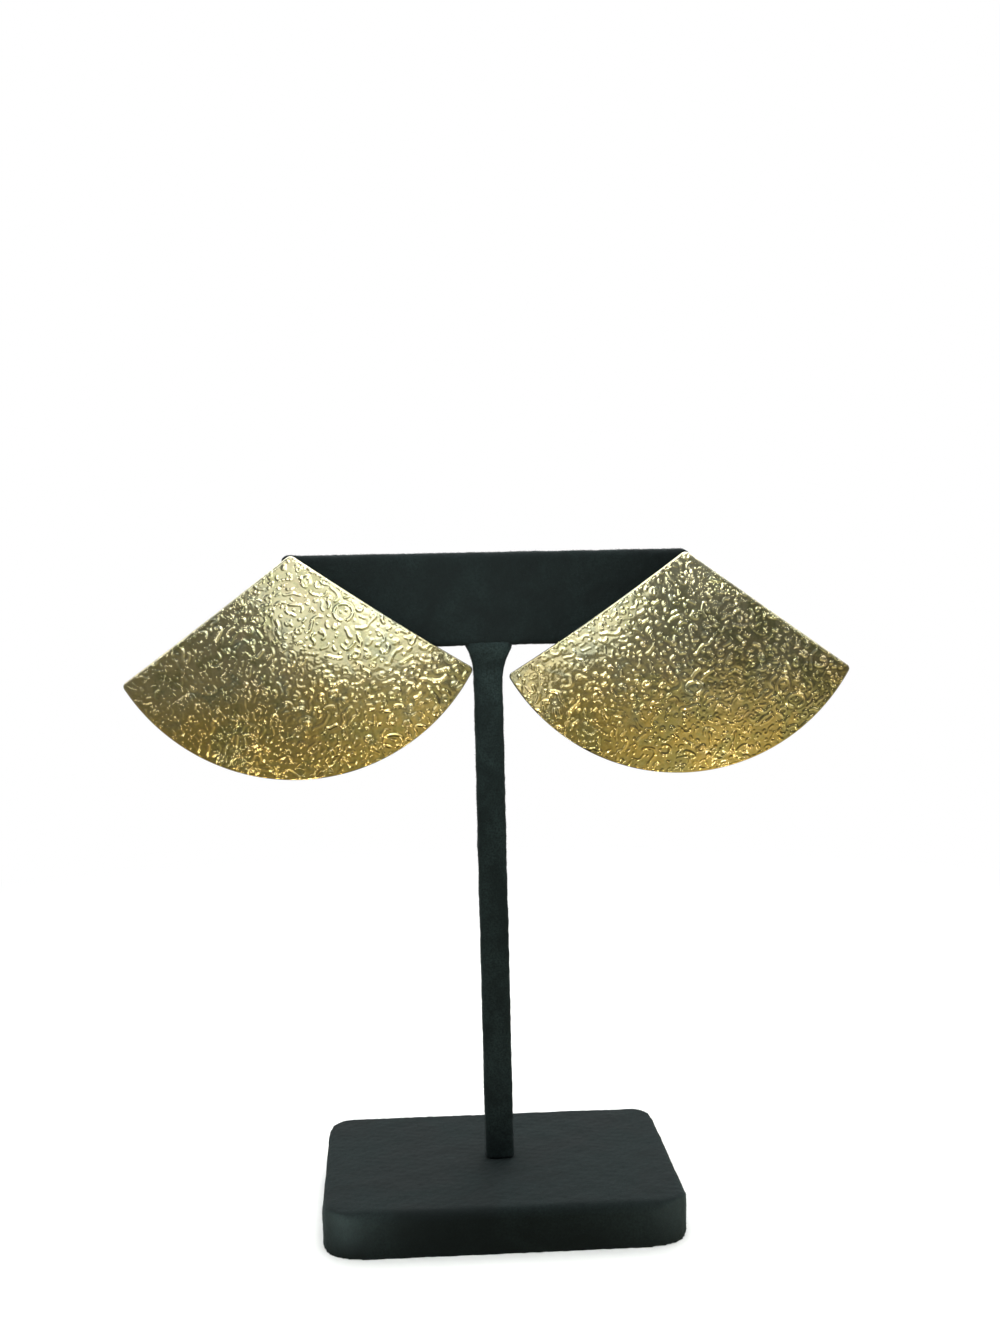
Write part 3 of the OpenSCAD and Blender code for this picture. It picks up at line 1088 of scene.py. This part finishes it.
def old_gold_material(name, shift):
    """Embossed gold-tone plating: golden below, paler above, dulled and stained in the hollows."""
    material, s, shader, place = new_material(name)
    ridge = s.node("ShaderNodeAttribute", attribute_name="ridge").outputs["Fac"]
    painted_rim = s.node("ShaderNodeAttribute", attribute_name="painted_rim").outputs["Fac"]
    height = s.node("ShaderNodeSeparateXYZ", {0: place}).outputs["Z"]
    olive = stain_mask(s, place, 210.0, 0.52, 0.16, shift)
    grey = stain_mask(s, place, 260.0, 0.46, 0.12, shift + 0.31)
    reddish = stain_mask(s, place, 330.0, 0.43, 0.1, shift + 0.67)
    wear_and_shade = use_group(s, "ridge_wear_and_painted_shade", {"Place": place, "Ridge": ridge, "Low": 0.1, "High": 0.75})
    grain = use_group(s, "metal_grain", {"Place": place, "Fineness": 2600.0, "Pits": 0.35})
    grey_share = s.ramp(height, 0.073, 0.083, 0.0, 0.5)
    tints = [
        (s.math("MULTIPLY", olive, 0.5), OLIVE),
        (s.math("MULTIPLY", grey, grey_share), GREY),
        (s.math("MULTIPLY", reddish, 0.25), REDDISH),
        # hollows darkened partly by tarnish and partly by painted shade
        (s.math("MULTIPLY_ADD", wear_and_shade["Bright"], -0.45, 0.45), TARNISH_AND_PAINTED_SHADE_GOLD),
        (s.math("MULTIPLY", grain["Mask"], 0.12), RUBBED_GOLD),
        # painted shade along the inner edges and a painted highlight along the outer edges
        (s.math("MULTIPLY", painted_rim, 0.75, clamp=True), PAINTED_EDGE_SHADE),
        (s.math("MULTIPLY", painted_rim, -0.8, clamp=True), PAINTED_EDGE_HIGHLIGHT),
    ]
    colour = plating_with_painted_pale_top(s, place, height)
    for share, tint in tints:
        colour = s.mix(share, colour, tint)
    rough = s.math("MULTIPLY_ADD", wear_and_shade["Bright"], -0.03, 0.15)
    rough = s.math("MULTIPLY_ADD", grey, 0.06, rough)
    rough = s.math("MULTIPLY_ADD", grain["Mask"], 0.03, rough)
    s.fill(shader, {"Base Color": colour, "Roughness": rough, "Metallic": 1.0})
    s.fill(shader, {"Coat Weight": 1.0, "Coat Roughness": 0.09})
    add_bump(s, shader, 0.5, 0.02, grain["Height"])
    return material


def nut_gold_material():
    """Plain turned gold-tone metal with light handling marks."""
    material, s, shader, place = new_material("turned_gold")
    stain = stain_mask(s, place, 900.0, 0.48, 0.15, 0.2)
    colour = s.mix(s.math("MULTIPLY", stain, 0.4), NUT_GOLD, NUT_BROWN)
    grain = use_group(s, "metal_grain", {"Place": place, "Fineness": 5200.0, "Pits": 0.2})
    rough = s.math("MULTIPLY_ADD", stain, 0.12, 0.22)
    s.fill(shader, {"Base Color": colour, "Roughness": rough, "Metallic": 1.0})
    add_bump(s, shader, 0.35, 0.01, grain["Height"])
    return material


def velvet_material(name, tone, brushing):
    """Black velvet with a cool cast, brushed patches, a few pale specks of lint, fine specks of painted
    shade in the pile, and a tone per piece that paints light and shade.
    """
    material, s, shader, place = new_material(name)
    nap = use_group(s, "velvet_nap", {"Place": place, "Pile": 3400.0, "Brushing": brushing})
    # tone scales the velvet per piece: painted light and shade, darker on the head and base and lighter on
    # the stem
    flat = (*(channel * tone for channel in VELVET_FLAT), 1)
    raised = (*(channel * tone for channel in VELVET_RAISED), 1)
    colour = s.mix(nap["Brushed"], flat, raised)
    # fine specks of painted shade between the pile hairs
    colour = s.mix(s.math("MULTIPLY", nap["Speckle"], 0.75), colour, VELVET_PAINTED_PILE_SHADE)
    lint = s.node("ShaderNodeTexVoronoi", {"Vector": place, "Scale": 190.0})
    speck = s.ramp(lint.outputs["Distance"], 0.015, 0.035, 1.0, 0.0)
    chance = s.node("ShaderNodeSeparateColor", {0: lint.outputs["Color"]}).outputs[0]
    speck = s.math("MULTIPLY", speck, s.ramp(chance, 0.72, 0.78))
    colour = s.mix(s.math("MULTIPLY", speck, 0.8), colour, LINT)
    rough = s.math("MULTIPLY_ADD", nap["Brushed"], 0.1, 0.85)
    s.fill(shader, {"Base Color": colour, "Roughness": rough, "Specular IOR Level": 0.12})
    s.fill(shader, {"Sheen Weight": 0.045, "Sheen Roughness": 0.45, "Sheen Tint": SHEEN})
    add_bump(s, shader, 0.8, 0.08, nap["Height"])
    return material


# Floor, light and camera

def mirrored_floor(s, place, length):
    """Tone that the floor glows with where the metal mirrors it, a painted reflection: brighter near at
    the right, dim far off and behind the stand.
    """
    aside, depth = s.node("ShaderNodeSeparateXYZ", {0: place}).outputs[0:2]
    near = s.mix(s.ramp(aside, -0.07, 0.08), NEAR_LEFT, NEAR_RIGHT)
    far = s.mix(s.ramp(aside, -0.15, 0.15), FAR_LEFT, FAR_RIGHT)
    tone = s.mix(s.ramp(length, 0.09, 0.30), near, far)
    return s.mix(s.ramp(depth, 0.0, 0.06), tone, BEHIND)


def floor_material():
    """Plain pale floor; far off the eye meets white, and the metal mirrors a dimmer, warmer floor that
    glows as painted light.
    """
    material, s, shader, place = new_material("pale_floor")
    s.fill(shader, {"Base Color": FLOOR, "Roughness": 0.7, "Specular IOR Level": 0.1})
    length = s.node("ShaderNodeVectorMath", {0: place}, operation="LENGTH").outputs["Value"]
    white = s.node("ShaderNodeEmission", {"Color": WHITE}).outputs[0]
    fading = {0: s.ramp(length, 0.07, 0.30), 1: shader.outputs[0], 2: white}
    seen = s.node("ShaderNodeMixShader", fading).outputs[0]
    tone = mirrored_floor(s, place, length)
    painted_floor_glow = s.node("ShaderNodeEmission", {"Color": tone}).outputs[0]
    result = next(node for node in material.node_tree.nodes if node.type == "OUTPUT_MATERIAL")
    s.feed(result.inputs["Surface"], by_eye(s, seen, painted_floor_glow))
    return material


def build_floor():
    """A wide round sheet on which the stand rests."""
    radius = 4.0
    sides = 96
    turn = np.arange(sides) * 2 * math.pi / sides
    ring = np.stack([np.cos(turn), np.sin(turn), 0 * turn], -1) * radius
    mesh = bpy.data.meshes.new("floor")
    mesh.from_pydata(ring.tolist(), [], [list(range(sides))])
    floor = in_scene("floor", mesh)
    mesh.materials.append(floor_material())


def build_world():
    """White where the eye meets it; dim and soft where it lights or mirrors."""
    world = bpy.data.worlds.new("studio")
    bpy.context.scene.world = world
    world.use_nodes = True
    world.node_tree.nodes.clear()
    s = Wiring(world.node_tree)
    way = s.node("ShaderNodeTexCoord").outputs["Generated"]
    up = s.node("ShaderNodeSeparateXYZ", {0: way})
    height = s.ramp(up.outputs["Z"], -0.3, 0.9)
    rear = s.ramp(up.outputs["Y"], -0.2, 0.8)
    tone = s.mix(height, ROOM_LOW, ROOM_HIGH)
    tone = s.mix(rear, tone, ROOM_REAR)
    lit = s.node("ShaderNodeBackground", {"Color": tone}).outputs[0]
    white = s.node("ShaderNodeBackground", {"Color": WHITE}).outputs[0]
    s.node("ShaderNodeOutputWorld", {"Surface": by_eye(s, white, lit)})


def soft_light(name, place, target, size, radiance, colour, stretch=1.0, spread=180.0):
    """An oval area light in millimetres; radiance is the brightness of its face seen head-on."""
    light = bpy.data.lights.new(name, "AREA")
    light.shape = "ELLIPSE"
    light.size = size * stretch * MM
    light.size_y = size * MM
    light.color = colour
    light.energy = radiance * math.pi * (math.pi / 4) * stretch * (size * MM) ** 2
    if spread < 180:
        half = math.radians(spread / 2)
        light.spread = 2 * half
        light.energy *= 1 - half / math.tan(half)
    holder = in_scene(name, light)
    holder.location = Vector(place) * MM
    aim = Vector(target) - Vector(place)
    holder.rotation_euler = aim.to_track_quat("-Z", "Y").to_euler()
    holder.visible_camera = False


def build_lights():
    """The glows and cores that the domes mirror, and the fills round the room."""
    for name, (place, target, size, radiance, stretch, spread) in GLOWS.items():
        soft_light(name, place, target, size, radiance, GLOW_COLOUR, stretch, spread)
    for name, (place, target, size, radiance) in CORES.items():
        soft_light(name, place, target, size, radiance, CORE_COLOUR)
    for name, (place, target, size, radiance, colour) in FILLS.items():
        soft_light(name, place, target, size, radiance, colour)


def build_camera():
    """The camera, at the photo's viewing angle."""
    azimuth = math.radians(CAMERA_AZIMUTH)
    elevation = math.radians(CAMERA_ELEVATION)
    back = Vector((
        math.sin(azimuth) * math.cos(elevation),
        -math.cos(azimuth) * math.cos(elevation),
        math.sin(elevation),
    ))
    data = bpy.data.cameras.new("camera")
    data.sensor_width = 36
    data.lens = CAMERA_LENS
    data.shift_x, data.shift_y = CAMERA_SHIFT
    data.clip_start = 0.01
    data.clip_end = 20
    camera = in_scene("camera", data)
    camera.location = (CAMERA_TARGET + CAMERA_DISTANCE * back) * MM
    roll = Matrix.Rotation(-math.radians(CAMERA_ROLL), 3, "Z")
    turn = (-back).to_track_quat("-Z", "Y").to_matrix() @ roll
    camera.rotation_euler = turn.to_euler()
    bpy.context.scene.camera = camera


# Putting it together

build_camera()
for make_group in (stain_group, grain_group, wear_and_shade_group, nap_group):
    make_group()
plan = fan_plan()
for side, shift in (("left", 0.0), ("right", 1.7)):
    build_fan(side, plan, old_gold_material("embossed_gold_" + side, shift))
nut_gold = nut_gold_material()
for side in ("left", "right"):
    build_nut(side, nut_gold)
for part in VELVETS:
    build_velvet(part)
build_floor()
build_world()
build_lights()
bpy.context.scene.view_settings.view_transform = "Standard"
